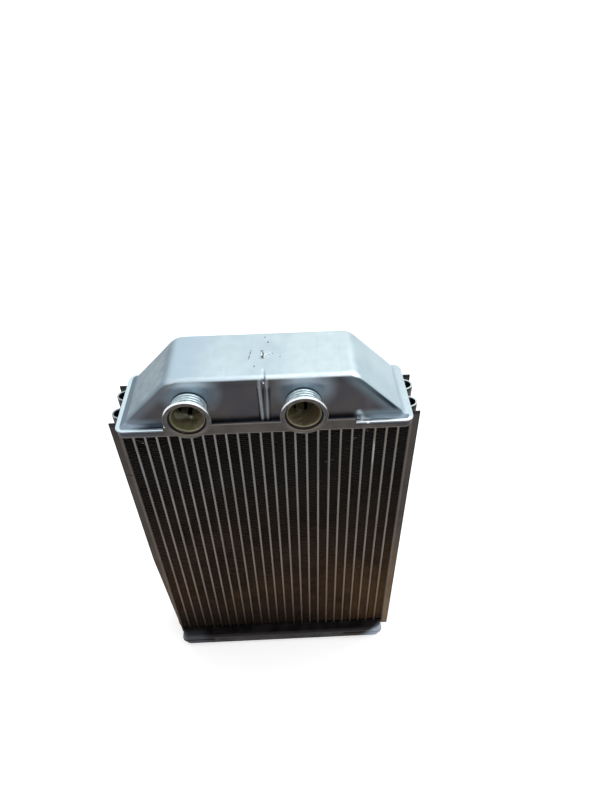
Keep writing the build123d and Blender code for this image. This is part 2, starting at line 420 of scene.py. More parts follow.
# Headers and lower tank
def header_loops(columns):
    """Loops of a header from the middle of its plate, over the rim and back inside, plate at 0."""
    def loop(offset, z, lift=0.0):
        half_y = header_half_y - offset
        points = ring(header_half_x - offset, half_y, half_y, [header_corner - min(offset, 3.2)] * 4, z, columns)
        in_tab = abs(half_y) > header_half_y - header_wall - 0.05
        return [(x, y, z + lift if in_tab and tab_from_x < x < tab_to_x and abs(y) > half_y - 0.02 else z)
                for x, y, z in points]

    extra = tab_top - header_depth
    loops = [loop(offset, 0) for offset in (22.05, 16, 9, 4, 2.2)]
    loops += [loop(1.5 * (1 - sin(pi / 2 * i / 6)), 1.5 * (1 - cos(pi / 2 * i / 6))) for i in range(7)]
    loops += [loop(0, 2.6), loop(0, header_depth - 0.5)]
    rim = ((0, 0.45), (0, 0.9), (0.06, 0.97), (0.25, 1), (0.95, 1), (1.14, 0.97), (1.2, 0.9), (1.2, 0.4))
    for offset, share in rim:
        loops.append(loop(offset, header_depth - 0.5 + 0.5 * share, extra * share))
    loops += [loop(offset, z) for offset, z in ((1.2, header_depth - 0.5), (1.2, 2.6), (1.3, 2.0), (1.6, 1.6))]
    loops += [loop(offset, header_gauge) for offset in (2.2, 4, 9, 16, 22.05)]
    return loops


def build_header(name, node, plate_z, way):
    """Stamped tray with rounded edges, its tabs and the slots that the tubes pass."""
    loops = header_loops(long_columns(header_corner, False))
    points, faces = closed_skin([[(x, y, plate_z + way * z) for x, y, z in loop] for loop in loops])
    header = new_object(name, points, faces)
    slots = []
    for low, high in tube_boxes:
        zs = sorted((plate_z - way, plate_z + way * (header_gauge + 0.8)))
        slots.append(((low.x - 0.03, low.y - 0.03, zs[0]), (high.x + 0.03, high.y + 0.03, zs[1])))
    cut(header, [blocks("cutter", slots)])
    return swap(header, node)


def build_pan():
    """Shallow lower tank with a rounded bottom edge and its foot at the rim."""
    columns = long_columns(header_corner, False)
    half_x, half_y = header_half_x - 0.4, header_half_y - header_wall
    foot_low = pan_high.z - foot_gauge
    profile = [(offset, 0.0) for offset in (20.8, 14, 7, 3)]
    profile += [(1.3 * (1 - sin(pi / 2 * i / 6)), 1.3 * (1 - cos(pi / 2 * i / 6))) for i in range(7)]
    profile += [(0, 3.5), (0, foot_low - 0.6), (-0.15, foot_low - 0.15), (-0.6, foot_low)]
    loops = [ring(half_x - offset, half_y - offset, half_y - offset, [max(0.5, 4.2 - offset)] * 4, z, columns)
             for offset, z in profile]
    foot = ((0.25, foot_low), (0, foot_low + 0.25), (0, pan_high.z - 0.3), (0.3, pan_high.z), (1.6, pan_high.z))
    for back, z in foot:
        loops.append([(x, max(-tab_room_y, min(tab_room_y, y)) if tab_from_x < x < tab_to_x else y, level)
                      for x, y, level in ring(foot_half_x - back, foot_half_y - back, foot_half_y - back,
                                              [4.4 - back] * 4, z, columns)])
    for offset, z in ((1.4, pan_high.z), (1.4, 2.4), (1.7, 1.7), (2.4, 1.4), (7, 1.4), (14, 1.4), (20.8, 1.4)):
        radii = [max(0.5, 3.2 - offset / 4)] * 4
        loops.append(ring(half_x - offset, half_y - offset, half_y - offset, radii, z, columns))
    points, faces = closed_skin(loops)
    return swap(new_object("pan_pressed", points, faces), "lower_tank")


# Necks
def neck_profile():
    """Section of a neck as (radius, distance in front of the tank's wall), a closed loop."""
    reach = neck_front_y - neck_mouth_y
    inner = neck_front_y - neck_inner_y
    flare_from = reach - 3.7
    path = [(neck_bore_radius, inner), (neck_outer_radius - 0.15, inner), (neck_outer_radius, inner + 0.2),
            (neck_outer_radius, 0.2)]
    pitch = (flare_from - 0.2) / 4
    for number in range(4):
        for step in range(1, 9):
            path.append((neck_outer_radius - 0.5 + 0.5 * abs(sin(pi * step / 8)) ** 0.6,
                         0.2 + pitch * (number + step / 8)))
    for step in range(1, 9):
        t = pi / 2 * step / 8
        path.append((neck_outer_radius - 0.5 + (flange_radius - neck_outer_radius + 0.5) * (1 - cos(t)),
                     flare_from + 2.6 * sin(t)))
    path += [(flange_radius, reach - 0.5), (flange_radius - 0.08, reach - 0.2), (flange_radius - 0.3, reach - 0.02),
             (11.15, reach), (11.05, reach - 0.08), (11.0, reach - 0.55), (10.9, reach - 0.62), (10.2, reach - 0.5),
             (9.4, reach - 0.42), (9.15, reach - 0.55), (9.02, reach - 1.5), (8.7, reach - 1.75), (8.45, reach - 1.55),
             (8.2, reach - 1.5), (7.85, reach - 1.7), (7.72, reach - 2.1), (7.7, reach - 2.6)]
    return path


def lathe_along_y(name, x, z, profile, segments=128):
    """Turned piece about a line along Y, from (radius, distance in front of the wall) pairs."""
    points = []
    for radius, d in profile:
        for i in range(segments):
            angle = 2 * pi * i / segments
            points.append((x + radius * cos(angle), neck_front_y - d, z + radius * sin(angle)))
    count = len(profile)
    faces = []
    for k in range(count):
        low, high = k * segments, (k + 1) % count * segments
        for i in range(segments):
            j = (i + 1) % segments
            faces.append((low + i, low + j, high + j, high + i))
    return new_object(name, points, faces, sharp=50)


# Fins and tubes
fin_pitch = 1.5
fin_sheet = 0.1


def ribbon(outline, thickness):
    """Closed loop of a thin ribbon around a polyline in a plane."""
    left, right = [], []
    for i, point in enumerate(outline):
        before = outline[max(0, i - 1)]
        after = outline[min(len(outline) - 1, i + 1)]
        along = (Vector(after) - Vector(before)).normalized()
        side = Vector((-along.y, along.x)) * thickness / 2
        left.append(Vector(point) + side)
        right.append(Vector(point) - side)
    return left + right[::-1]


def ribbon_faces(sections, count):
    """Faces of a ribbon drawn through several sections of count points, with both ends closed."""
    faces = []
    for level in range(sections - 1):
        low, high = level * count, (level + 1) * count
        faces += [(low + i, low + (i + 1) % count, high + (i + 1) % count, high + i) for i in range(count)]
    for start in (0, (sections - 1) * count):
        faces += [(start + i, start + i + 1, start + count - 2 - i, start + count - 1 - i)
                  for i in range(count // 2 - 1)]
    return faces


def fold_outline(half_width, low, high):
    """Serpentine line of a fin strip: straight walls joined by round bends."""
    bend = fin_pitch / 2
    reach = half_width - bend - fin_sheet / 2
    points = []
    for i in range(int((high - low) / fin_pitch)):
        z = low + fin_pitch * (i + 0.5)
        side = 1 if i % 2 else -1
        points.append((-side * reach, z))
        for k in range(1, 4):
            angle = -pi / 2 + pi * k / 4
            points.append((side * (reach + bend * cos(angle)), z + bend + bend * sin(angle)))
    return points


# Places where the fins' front edges are bent: x, height, reach across, reach in height, drop
crumples = [(-66, header_low.z - 9, 7, 11, 1.5), (-57, header_low.z - 15, 4, 8, -1.1),
            (-51, header_low.z - 13, 3, 6, 1.0), (45, header_low.z - 23, 4, 5, -1.3),
            (51, header_low.z - 20, 4, 4, 1.2), (33, header_low.z - 39, 3, 4, 0.8),
            (-9, 120, 3, 6, 0.8), (15, 70, 4, 6, -0.8), (-42, 150, 3, 5, 0.7), (57, 160, 3, 8, 0.9)]


def build_fins():
    """Corrugated fin strips with fine folds, one for each CAD strip."""
    made = []
    for number, (low, high) in enumerate(fin_boxes, start=1):
        centre = (low.x + high.x) / 2
        outline = ribbon(fold_outline((high.x - low.x) / 2, low.z, high.z), fin_sheet)
        points = []
        for y, loose in ((low.y, 1.0), (low.y + 0.8, 0.6), (low.y + 2.2, 0.0), (high.y - 1.2, 0.0), (high.y, 0.5)):
            for p in outline:
                x, z = centre + p.x, p.y
                inside = 1 - abs(p.x) / ((high.x - low.x) / 2)
                drop = 0.22 * noise.noise(Vector((x * 0.35, y, z * 0.5)))
                if y < 0:
                    for cx, cz, rx, rz, depth in crumples:
                        away = ((x - cx) / rx) ** 2 + ((z - cz) / rz) ** 2
                        if away < 1:
                            drop += depth * (1 - away) * (0.6 + noise.noise(Vector((x, 0, z * 0.8))))
                z += drop * loose * min(1.0, inside * 2.5)
                points.append((x, y, max(low.z, min(high.z, z))))
        fin = new_object(f"fin_strip_{number:02d}", points, ribbon_faces(5, len(outline)), sharp=50)
        made.append(swap(fin, f"fin_{number:02d}"))
    return made


def build_tubes():
    """Flat tubes with round noses, open at both ends."""
    made = []
    for number, (low, high) in enumerate(tube_boxes, start=1):
        centre = (low.x + high.x) / 2

        def section(thickness, depth):
            radius = thickness / 2
            points = []
            for side, start in ((1, 0), (-1, pi)):
                for i in range(9):
                    angle = start + pi * i / 8
                    points.append((centre + radius * cos(angle), side * (depth / 2 - radius) + radius * sin(angle)))
            return points

        outer = section(high.x - low.x, high.y - low.y)
        inner = section(high.x - low.x - 0.6, high.y - low.y - 0.8)
        turns = ((outer, low.z), (outer, high.z), (inner, high.z), (inner, low.z), (outer, low.z))
        loops = [[(x, y, z) for x, y in outline] for outline, z in turns]
        tube = new_object(f"flat_tube_{number:02d}", [point for loop in loops for point in loop], skin(loops))
        made.append(swap(tube, f"tube_{number:02d}"))
    return made


# Side plates
def plate_outline(front_edge):
    """Middle line of the right plate's section, from the front flange's edge to the rear one's."""
    half = plate_gauge / 2
    web = plate_low.x + half
    edge = plate_high.x
    depth = plate_high.y - half
    path = [Vector((front_edge, -depth))]
    path += arc_corner((front_edge, -depth), (web, -depth), (web, 0), min(1.0, front_edge - web - 0.05), 4)
    for side in (-1, 1):
        centre = side * bead_y
        foot = bead_radius + 0.25
        path += arc_corner((web, centre - 6), (web, centre - foot), (web + 3, centre - foot), 0.8, 3)
        for i in range(1, 12):
            angle = -pi / 2 + pi * i / 12
            path.append(Vector((web + 0.45 + bead_radius * cos(angle), centre + bead_radius * sin(angle))))
        path += arc_corner((web + 3, centre + foot), (web, centre + foot), (web, centre + 6), 0.8, 3)
    path += arc_corner((web, 0), (web, depth), (edge, depth), 1.0, 4)
    path.append(Vector((edge, depth)))
    return path


def build_plate(name, node, hand):
    """Beaded channel; on the left its front flange narrows towards the lower end."""
    low, high = plate_low.z, plate_high.z
    levels = [low + 0.15, low + 3] + [low + (high - low) * i / 24 for i in range(1, 24)]
    levels += [trim_start_z - 0.5, trim_start_z + 0.5, high - 0.15]
    sections = []
    for z in [low] + sorted(levels) + [high]:
        front = plate_high.x
        if hand < 0 and z < trim_start_z:
            front -= trim_width * (trim_start_z - z) / (trim_start_z - low)
        gauge = plate_gauge - (0.3 if z in (low, high) else 0.0)
        wave = 0.12 * noise.noise(Vector((hand * 9, 3, z * 0.03)))
        section = []
        for x, y in ribbon(plate_outline(front), gauge):
            bent = wave if plate_low.x + 1 < x < plate_high.x - 0.3 else 0
            section.append((hand * (x + bent), y, z))
        sections.append(section)
    points = [point for section in sections for point in section]
    plate = new_object(name, points, ribbon_faces(len(sections), len(sections[0])))
    return swap(plate, node)


# Materials
class Shader:
    """Small helper that adds and links the nodes of one material."""

    def __init__(self, name):
        self.material = bpy.data.materials.new(name)
        self.material.use_nodes = True
        self.tree = self.material.node_tree
        self.tree.nodes.clear()
        self.output = self.tree.nodes.new("ShaderNodeOutputMaterial")
        self.surface = self.tree.nodes.new("ShaderNodeBsdfPrincipled")
        self.tree.links.new(self.surface.outputs[0], self.output.inputs[0])
        self.place = self.tree.nodes.new("ShaderNodeTexCoord").outputs["Object"]
        millimetres = self.vector("SCALE", self.place, scale=1 / MM)
        separate = self.node("SeparateXYZ", {0: millimetres})
        self.x, self.y, self.z = separate.outputs
        self.normal = self.node("NewGeometry", {}).outputs["Normal"]

    def put(self, value, socket):
        """Sets a socket to a number or colour, or links an output to it."""
        if isinstance(value, bpy.types.NodeSocket):
            self.tree.links.new(value, socket)
        else:
            socket.default_value = value

    def node(self, kind, inputs, **settings):
        node = self.tree.nodes.new("ShaderNode" + kind)
        for key, value in settings.items():
            setattr(node, key, value)
        for key, value in inputs.items():
            self.put(value, node.inputs[key])
        return node

    def vector(self, operation, a, b=None, scale=None):
        inputs = {0: a}
        if b is not None:
            inputs[1] = b
        if scale is not None:
            inputs["Scale"] = scale
        node = self.node("VectorMath", inputs, operation=operation)
        return node.outputs["Value" if operation in ("DOT_PRODUCT", "LENGTH", "DISTANCE") else "Vector"]

    def math(self, operation, a, b=0.0, clamp=False):
        return self.node("Math", {0: a, 1: b}, operation=operation, use_clamp=clamp).outputs[0]

    def times(self, *values):
        """Product of several masks."""
        product = values[0]
        for value in values[1:]:
            product = self.math("MULTIPLY", product, value)
        return product

    def noise(self, scale, detail=4.0, roughness=0.55, stretch=None):
        """Noise whose scale is in cycles a millimetre."""
        place = self.vector("MULTIPLY", self.place, stretch) if stretch else self.place
        return self.node("TexNoise", {"Vector": place, "Scale": scale / MM, "Detail": detail,
                                      "Roughness": roughness}).outputs["Fac"]

    def ramp(self, factor, low, high, start=0.0, end=1.0):
        """Maps factor from low..high to start..end, held at both ends."""
        return self.node("MapRange", {0: factor, 1: low, 2: high, 3: start, 4: end},
                         interpolation_type="SMOOTHSTEP").outputs[0]

    def mix(self, factor, a, b):
        node = self.tree.nodes.new("ShaderNodeMix")
        node.data_type = "RGBA"
        self.put(factor, node.inputs[0])
        self.put(a, node.inputs[6])
        self.put(b, node.inputs[7])
        return node.outputs[2]

    def mottle(self, scale, dark, pale, detail=4.0, stretch=None):
        """Two colours mixed by noise."""
        return self.mix(self.ramp(self.noise(scale, detail, stretch=stretch), 0.35, 0.65), dark, pale)

    def facing(self, direction):
        """How much the surface looks along a direction of the object."""
        return self.vector("DOT_PRODUCT", self.normal, direction)

    def near(self, x, y, z, radius, soft):
        """Mask of a ball round a point, in millimetres."""
        away = self.vector("DISTANCE", self.place, (x * MM, y * MM, z * MM))
        return self.ramp(away, (radius - soft) * MM, (radius + soft) * MM, 1.0, 0.0)

    def stroke(self, start, end, width, soft=0.15):
        """Mask of a straight stroke between two places, in millimetres."""
        start, end = Vector(start) * MM, Vector(end) * MM
        line = end - start
        offset = self.vector("SUBTRACT", self.place, tuple(start))
        share = self.vector("DOT_PRODUCT", offset, tuple(line / line.length_squared))
        share = self.math("MULTIPLY", share, 1.0, clamp=True)
        along = self.node("VectorMath", {0: tuple(line), "Scale": share}, operation="SCALE").outputs["Vector"]
        away = self.vector("DISTANCE", offset, along)
        return self.ramp(away, max(0.0, width / 2 - soft) * MM, (width / 2 + soft) * MM, 1.0, 0.0)

    def finish(self, colour, roughness, metallic, height=None, strength=0.2, distance=0.0001, specular=0.5):
        """Sets the surface's sockets, with a bump from the height where there is one."""
        self.put(colour, self.surface.inputs["Base Color"])
        self.put(roughness, self.surface.inputs["Roughness"])
        self.put(metallic, self.surface.inputs["Metallic"])
        self.put(specular, self.surface.inputs["Specular IOR Level"])
        if height is not None:
            bump = self.node("Bump", {"Strength": strength, "Distance": distance, "Height": height})
            self.put(bump.outputs[0], self.surface.inputs["Normal"])
        return self.material


def srgb(r, g, b):
    """Linear colour of an 8-bit one."""
    def linear(value):
        value /= 255
        return value / 12.92 if value <= 0.04045 else ((value + 0.055) / 1.055) ** 2.4
    return (linear(r), linear(g), linear(b), 1.0)


def stake_marks(s):
    """Staking dents on the tank's top, painted dark as shade, and a painted highlight beside them."""
    broken = s.ramp(s.noise(0.9, 3), 0.36, 0.5)
    wander = s.noise(0.35, 2)
    place = s.math("ADD", s.x, s.ramp(wander, 0.3, 0.7, -0.5, 0.5))
    line = s.times(s.ramp(s.math("ABSOLUTE", s.math("SUBTRACT", place, 0.3)), 0.2, 0.5, 1.0, 0.0),
                   s.ramp(s.math("ABSOLUTE", s.math("SUBTRACT", s.y, 1.2)), 2.9, 3.6, 1.0, 0.0))
    stake_dents_and_shade = s.math("MAXIMUM", line, s.stroke((-0.9, -2.1, top_z), (1.0, -2.2, top_z), 0.5))
    dash = s.times(s.stroke((-5.5, 4.9, top_z), (-6.5, -2.5, top_z), 0.45), broken)
    stake_dents_and_shade = s.math("MAXIMUM", stake_dents_and_shade, dash)
    for x, y, radius in ((-3.7, -8.2, 0.45), (1.5, 15.7, 0.4), (3.0, 11.2, 0.5), (3.6, 0.6, 0.35), (5.2, 1.4, 0.3),
                         (9.0, -1.5, 0.3)):
        stake_dents_and_shade = s.math("MAXIMUM", stake_dents_and_shade, s.near(x, y, top_z, radius, 0.2))
    stake_highlight = s.times(s.near(2.4, 0.4, top_z, 2.2, 1.4), s.ramp(s.noise(0.6, 3), 0.4, 0.6))
    return s.times(stake_dents_and_shade, s.ramp(s.facing((0, 0, 1)), 0.6, 0.9)), stake_highlight


def tank_material():
    s = Shader("pressed_aluminium")
    up, front, right = s.facing((0, 0, 1)), s.facing((0, -1, 0)), s.facing((1, 0, 0))
    # Top: paler to the right and darker to the left as painted light and shade, with fine streaks
    pale = s.mottle(0.03, srgb(190, 210, 219), srgb(200, 219, 226), 3)
    pale = s.mix(s.ramp(s.x, 4, 22), pale, srgb(203, 221, 226))
    pale = s.mix(s.ramp(s.x, -18, -40), pale, srgb(182, 203, 216))
    streaks = s.ramp(s.noise(0.5, 3, stretch=(1, 0.12, 0.12)), 0.55, 0.75, 0, 0.22)
    pale = s.mix(streaks, pale, srgb(176, 194, 203))
    # Slopes: painted shade on the left one, painted light on the right one
    shaded_left_slope = s.mottle(0.06, srgb(114, 134, 146), srgb(126, 145, 156))
    colour = s.mix(s.ramp(right, -0.1, -0.68), pale, shaded_left_slope)
    lit_right_slope = s.mottle(0.05, srgb(176, 198, 207), srgb(188, 208, 216))
    colour = s.mix(s.ramp(right, 0.15, 0.66), colour, lit_right_slope)

    # Front wall: dark as painted shade, browner in the middle, and paler over the necks and at both lower corners as
    # painted reflections
    wall = s.mottle(0.05, srgb(58, 57, 62), srgb(68, 65, 64))
    wall = s.mix(s.times(s.ramp(s.noise(0.07, 3, stretch=(1, 1, 0.3)), 0.5, 0.7), 0.6), wall, srgb(78, 72, 76))
    # Painted reflection of each neck on the wall above it
    for x in neck_x:
        neck_reflection = s.times(s.near(x + 1, -19, neck_z + 8.5, 10, 8), s.ramp(s.noise(0.09, 3), 0.3, 0.6, 0.7, 1.0))
        wall = s.mix(neck_reflection, wall, srgb(147, 164, 177))
    # Painted light near the edge to the right slope, and painted shade as a dark line along that edge
    inward = s.math("SUBTRACT", top_half_x + top_z, s.math("ADD", s.x, s.z))
    wall = s.mix(s.ramp(inward, 11, 3), wall, srgb(84, 96, 104))
    slope_edge_shade = s.times(s.ramp(inward, 4.4, 1.6), s.ramp(s.z, top_z - 6, top_z - 16, 0.3, 1.0))
    wall = s.mix(slope_edge_shade, wall, srgb(30, 42, 52))
    # Painted reflection in the lower right corner, where the wall curves into the foot
    low_right_reflection = s.times(s.ramp(s.x, 40, 56), s.ramp(s.z, foot_top_z + 6.5, foot_top_z + 2))
    wall = s.mix(low_right_reflection, wall, srgb(104, 118, 128))
    # Painted light near the edge to the left slope
    left_in = s.math("SUBTRACT", top_half_x + top_z, s.math("SUBTRACT", s.z, s.x))
    wall = s.mix(s.ramp(left_in, 10, 1), wall, srgb(88, 93, 100))
    # Painted reflection in the lower left corner
    low_left_reflection = s.times(s.ramp(s.x, -46, -64), s.ramp(s.z, foot_top_z + 6, foot_top_z + 1.5))
    wall = s.mix(low_left_reflection, wall, srgb(112, 124, 136))
    climb = s.ramp(s.z, foot_top_z, top_z, 0, 1)
    # Painted highlights on the two crests of the double rib
    for crest, widening, share in ((-0.8, -0.5, 0.6), (1.8, 0.5, 0.5)):
        ridge = s.math("ABSOLUTE", s.math("SUBTRACT", s.x, s.math("ADD", s.times(climb, widening), crest)))
        wall = s.mix(s.times(s.ramp(ridge, 1.1, 0.3), share), wall, srgb(136, 143, 151))
    colour = s.mix(s.ramp(front, 0.32, 0.66), colour, wall)

    # Painted highlight along the pressed top edge, and the foot with a painted highlight on its pale rim
    edge = s.times(s.ramp(up, 0.72, 0.88), s.ramp(up, 0.996, 0.965), s.ramp(front, 0.07, 0.18),
                   s.ramp(s.z, top_z - 4, top_z - 3), s.ramp(s.x, -46.5, -42), s.ramp(s.x, 49.5, 44))
    edge_highlight_band = s.mix(s.ramp(s.x, -10, 15), srgb(190, 206, 215), srgb(199, 210, 215))
    edge_highlight_band = s.mix(s.ramp(s.noise(0.16, 3, stretch=(1, 0.3, 0.3)), 0.5, 0.7, 0, 0.5), edge_highlight_band, srgb(182, 200, 210))
    colour = s.mix(edge, colour, edge_highlight_band)
    # Foot at both ends: darker on the left and paler on the right, as painted shade and light
    foot = s.ramp(s.z, foot_top_z + 3.4, foot_top_z + 1.0)
    side = s.mix(s.ramp(s.x, -10, 10), srgb(112, 130, 142), srgb(186, 204, 213))
    colour = s.mix(s.times(foot, s.ramp(front, 0.3, 0.0)), colour, side)
    # Front strip of the foot: painted shade in the middle and painted light at both ends
    foot_strip_light_and_shade = s.mix(s.ramp(s.x, -68, -56), srgb(134, 150, 164), srgb(44, 54, 66))
    foot_strip_light_and_shade = s.mix(s.ramp(s.x, 46, 58), foot_strip_light_and_shade, srgb(112, 128, 140))
    colour = s.mix(s.times(s.ramp(s.z, foot_top_z + 2.4, foot_top_z + 1.0), s.ramp(s.y, -17.5, -18.8)), colour, foot_strip_light_and_shade)
    reaches = [s.math("MAXIMUM", s.times(s.math("SUBTRACT", s.math("ABSOLUTE", way), start), share), 0.0)
               for way, start, share in ((s.x, 70.6, 0.53), (s.y, 18.3, 0.345))]
    corner = s.node("CombineXYZ", dict(enumerate(reaches))).outputs[0]
    rim = s.ramp(s.vector("LENGTH", corner), 0.98, 1.12)
    rim = s.times(rim, s.ramp(s.z, foot_top_z + 0.5, foot_top_z + 0.2))
    # Painted highlight on the foot's rim, strongest near the right tab's end
    rim_highlight = s.mix(s.ramp(s.x, 30, 60), srgb(210, 230, 238), srgb(188, 206, 214))
    rim_highlight = s.mix(s.times(s.ramp(s.x, 40, 50), s.ramp(s.y, -20, -21)), rim_highlight, srgb(238, 246, 250))
    colour = s.mix(rim, colour, rim_highlight)
    # Painted shade under the foot's outer edge
    foot_edge_shade = s.times(s.ramp(s.z, foot_top_z - 0.1, foot_top_z - 0.5), s.ramp(up, 0.6, 0.3))
    colour = s.mix(foot_edge_shade, colour, srgb(92, 98, 108))
    blob = s.math("MAXIMUM", s.stroke((47.3, -19.6, foot_top_z + 3.8), (49.0, -20.6, foot_top_z + 0.6), 2.2, 1.3),
                  s.stroke((46.8, -20.4, foot_top_z + 0.6), (52.6, -21.2, foot_top_z + 0.2), 1.2, 0.8))
    blob = s.times(blob, s.ramp(s.noise(0.45, 3), 0.35, 0.6, 0.15, 0.9))
    colour = s.mix(blob, colour, srgb(172, 187, 195))
    # Painted highlights: two near-white dots beside the braze at the right tab's end
    bead_highlights = s.math("MAXIMUM", s.near(51.4, -22.2, foot_top_z, 1.0, 0.4),
                  s.near(48.6, -21.4, foot_top_z + 0.4, 0.8, 0.5))
    colour = s.mix(bead_highlights, colour, srgb(244, 249, 251))

    # Staking dents painted dark as shade, with a painted highlight beside them
    stake_dents_and_shade, stake_highlight = stake_marks(s)
    colour = s.mix(stake_highlight, colour, srgb(236, 246, 249))
    colour = s.mix(stake_dents_and_shade, colour, srgb(58, 66, 70))
    speck = s.near(62.0, -8, kink_z + 6, 0.5, 0.3)
    colour = s.mix(speck, colour, srgb(96, 108, 114))
    # Inside faces: pale olive, which paints light into the tank's shaded inside
    outward = s.vector("DOT_PRODUCT", s.vector("SUBTRACT", s.place, (0, 0, rim_z * MM)), s.normal)
    inside = s.ramp(outward, 0.5 * MM, -0.5 * MM)
    colour = s.mix(inside, colour, srgb(226, 221, 192))
    rough = s.ramp(s.noise(0.2, 4), 0.3, 0.7, 0.34, 0.48)
    height = s.math("ADD", s.noise(1.6, 4, 0.6), s.times(s.noise(0.22, 3), 2.0))
    height = s.math("SUBTRACT", height, s.times(stake_dents_and_shade, 2.0))
    return s.finish(colour, rough, s.ramp(inside, 0, 1, 0.85, 0.0), height, 0.22, 0.00012)


def neck_material():
    s = Shader("turned_aluminium")
    reach = []
    for x in neck_x:
        offset = s.vector("SUBTRACT", s.place, (x * MM, 0, neck_z * MM))
        reach.append(s.vector("LENGTH", s.vector("MULTIPLY", offset, (1, 0, 1))))
    radius = s.times(s.math("MINIMUM", *reach), 1 / MM)
    up = s.math("SUBTRACT", s.z, neck_z)
    mottle = s.noise(0.5, 4)
    pale = s.mix(s.ramp(mottle, 0.35, 0.65), srgb(176, 196, 204), srgb(212, 229, 236))
    # Outer neck: painted shade in the ring grooves, a painted shadow on the wall round its root, a paler flare, and
    # painted shade over the lower half
    neck_light_and_shade = s.mix(s.ramp(radius, 8.7, 8.38), pale, srgb(96, 112, 120))
    neck_light_and_shade = s.mix(s.ramp(s.y, neck_front_y - 0.9, neck_front_y - 0.4), neck_light_and_shade, srgb(30, 40, 48))
    neck_light_and_shade = s.mix(s.ramp(radius, 9.2, 10.6), neck_light_and_shade, srgb(192, 206, 212))
    neck_light_and_shade = s.mix(s.ramp(up, 1, -5), neck_light_and_shade, srgb(70, 67, 68))

    # Front of the flange: a painted highlight on the upper half of its outer edge over a dull face, and painted shade
    # in the step under that edge and in the groove round the mouth
    face = s.mix(s.ramp(up, 4, 9), srgb(64, 62, 65), srgb(66, 59, 59))
    face = s.mix(s.ramp(up, -3, -8), face, srgb(92, 86, 80))
    face = s.mix(s.ramp(mottle, 0.4, 0.7, 0, 0.4), face, srgb(104, 99, 96))
    lip_highlight = s.mix(s.ramp(up, 3.0, 7.0), srgb(84, 81, 82), srgb(236, 242, 246))
    face = s.mix(s.ramp(radius, 11.0, 11.12), face, lip_highlight)
    step = s.times(s.ramp(radius, 10.75, 10.9), s.ramp(radius, 11.14, 11.04), s.ramp(up, 0, 5))
    groove = s.times(s.ramp(radius, 8.4, 8.65), s.ramp(radius, 9.35, 9.1))
    face = s.mix(s.times(s.math("MAXIMUM", step, groove), 0.9), face, srgb(34, 30, 26))
    # Ring inside the mouth: painted light on its lower part, painted shade on its upper part
    inner = s.mix(s.ramp(up, -2, -7), srgb(84, 80, 64), srgb(122, 116, 98))
    face = s.mix(s.ramp(radius, 8.5, 8.35), face, inner)

    # Inside: a pale olive tone that paints light into the bore, with patches and glints of painted light where the
    # light falls, darker and browner towards the right
    olive = s.mottle(0.22, srgb(100, 92, 74), srgb(146, 136, 112), 3)
    olive = s.mix(s.ramp(s.noise(0.12, 2), 0.5, 0.65), olive, srgb(112, 116, 82))
    left_light_patch = s.math("MAXIMUM", s.stroke((-42.8, -21.4, neck_z - 3.9), (-39.2, -17.8, neck_z - 7.0), 3.4, 0.7),
                        s.stroke((-39.2, -17.8, neck_z - 7.0), (-35.8, -19.0, neck_z - 7.7), 1.7, 0.5))
    olive = s.mix(s.times(left_light_patch, 0.85), olive, srgb(196, 198, 178))
    glints = s.math("MAXIMUM", s.near(-39.0, -17.2, neck_z - 7.1, 0.9, 0.5),
                    s.near(-36.2, -18.6, neck_z - 7.7, 0.7, 0.4))
    glints = s.math("MAXIMUM", glints, s.stroke((16.2, -17.0, neck_z - 6.9), (18.6, -17.0, neck_z - 7.6), 0.9, 0.4))
    olive = s.mix(glints, olive, srgb(248, 244, 228))
    right_light_patch = s.math("MAXIMUM", s.stroke((12.9, -25.0, neck_z - 3.9), (17.6, -18.8, neck_z - 7.4), 1.3, 0.7),
                         s.stroke((13.0, -28.0, neck_z - 4.0), (18.0, -23.0, neck_z - 7.5), 1.0, 0.6))
    olive = s.mix(s.times(s.ramp(s.x, 0, 10), 0.45), olive, srgb(92, 82, 64))
    olive = s.mix(s.times(right_light_patch, 0.7), olive, srgb(160, 162, 128))
    olive = s.mix(s.times(s.near(24.5, -24, neck_z - 6, 5, 2.5), 0.6), olive, srgb(104, 84, 66))
    front_part = s.ramp(s.y, neck_mouth_y + 2.9, neck_mouth_y + 2.5)
    bore = s.ramp(radius, 7.95, 7.78)
    colour = s.mix(s.times(front_part, s.ramp(s.facing((0, 1, 0)), 0.2, -0.1)), neck_light_and_shade, face)
    colour = s.mix(bore, colour, olive)
    rough = s.ramp(mottle, 0.3, 0.7, 0.26, 0.42)
    return s.finish(colour, rough, s.ramp(bore, 0, 1, 0.88, 0.1), s.noise(1.2, 4), 0.2, 0.0001)


def end_sheen(s, colour):
    """Painted highlights and reflection at both ends of the lower header and the pan, spreading up the right corner.
    """
    reach = s.math("ADD", s.z, s.times(s.math("ADD", s.y, header_half_y), 0.88))
    left = s.times(s.ramp(s.x, -52, -63), s.ramp(reach, 18.5, 14.5))
    colour = s.mix(left, colour, s.mix(s.ramp(s.x, -70, -74), srgb(62, 64, 69), srgb(92, 97, 103)))
    fan = s.math("SUBTRACT", s.times(s.x, 0.75), reach)
    right = s.times(s.ramp(fan, 35.5, 41.0), s.ramp(s.x, 55, 72), s.ramp(s.noise(0.08, 3), 0.2, 0.45, 0.6, 1.0))
    return s.mix(right, colour, srgb(156, 165, 178))


